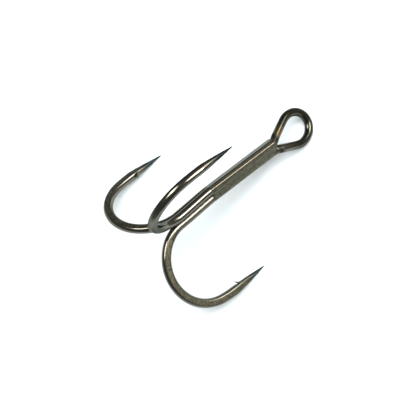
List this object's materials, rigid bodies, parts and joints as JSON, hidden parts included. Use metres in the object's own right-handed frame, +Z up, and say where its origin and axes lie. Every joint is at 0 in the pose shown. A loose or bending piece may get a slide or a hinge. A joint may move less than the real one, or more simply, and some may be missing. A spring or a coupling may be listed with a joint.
{
  "type": "treble hook",
  "caption": "Barbed fishing hook with its points spread evenly around one pressed and brazed shank, which ends in a teardrop eye.",
  "frame": {"origin": "on the surface that the hook rests on, under the middle of its outline", "axes": "+X along the shank towards the eye, +Z up, +Y to the side of the single wire's hook"},
  "size_m": [0.0506, 0.0372, 0.0335],
  "materials": {
    "hook_wire": "high-carbon steel wire under bright black-nickel plate, smooth and glossy on the bends, matte where the shank is pressed",
    "braze": "silver-bearing braze under the same black-nickel plate, slightly rough"
  },
  "bodies": {
    "root": {"double_hook_wire": "hook_wire", "single_hook_wire": "hook_wire", "braze_filler": "braze"}
  },
  "joints": []
}
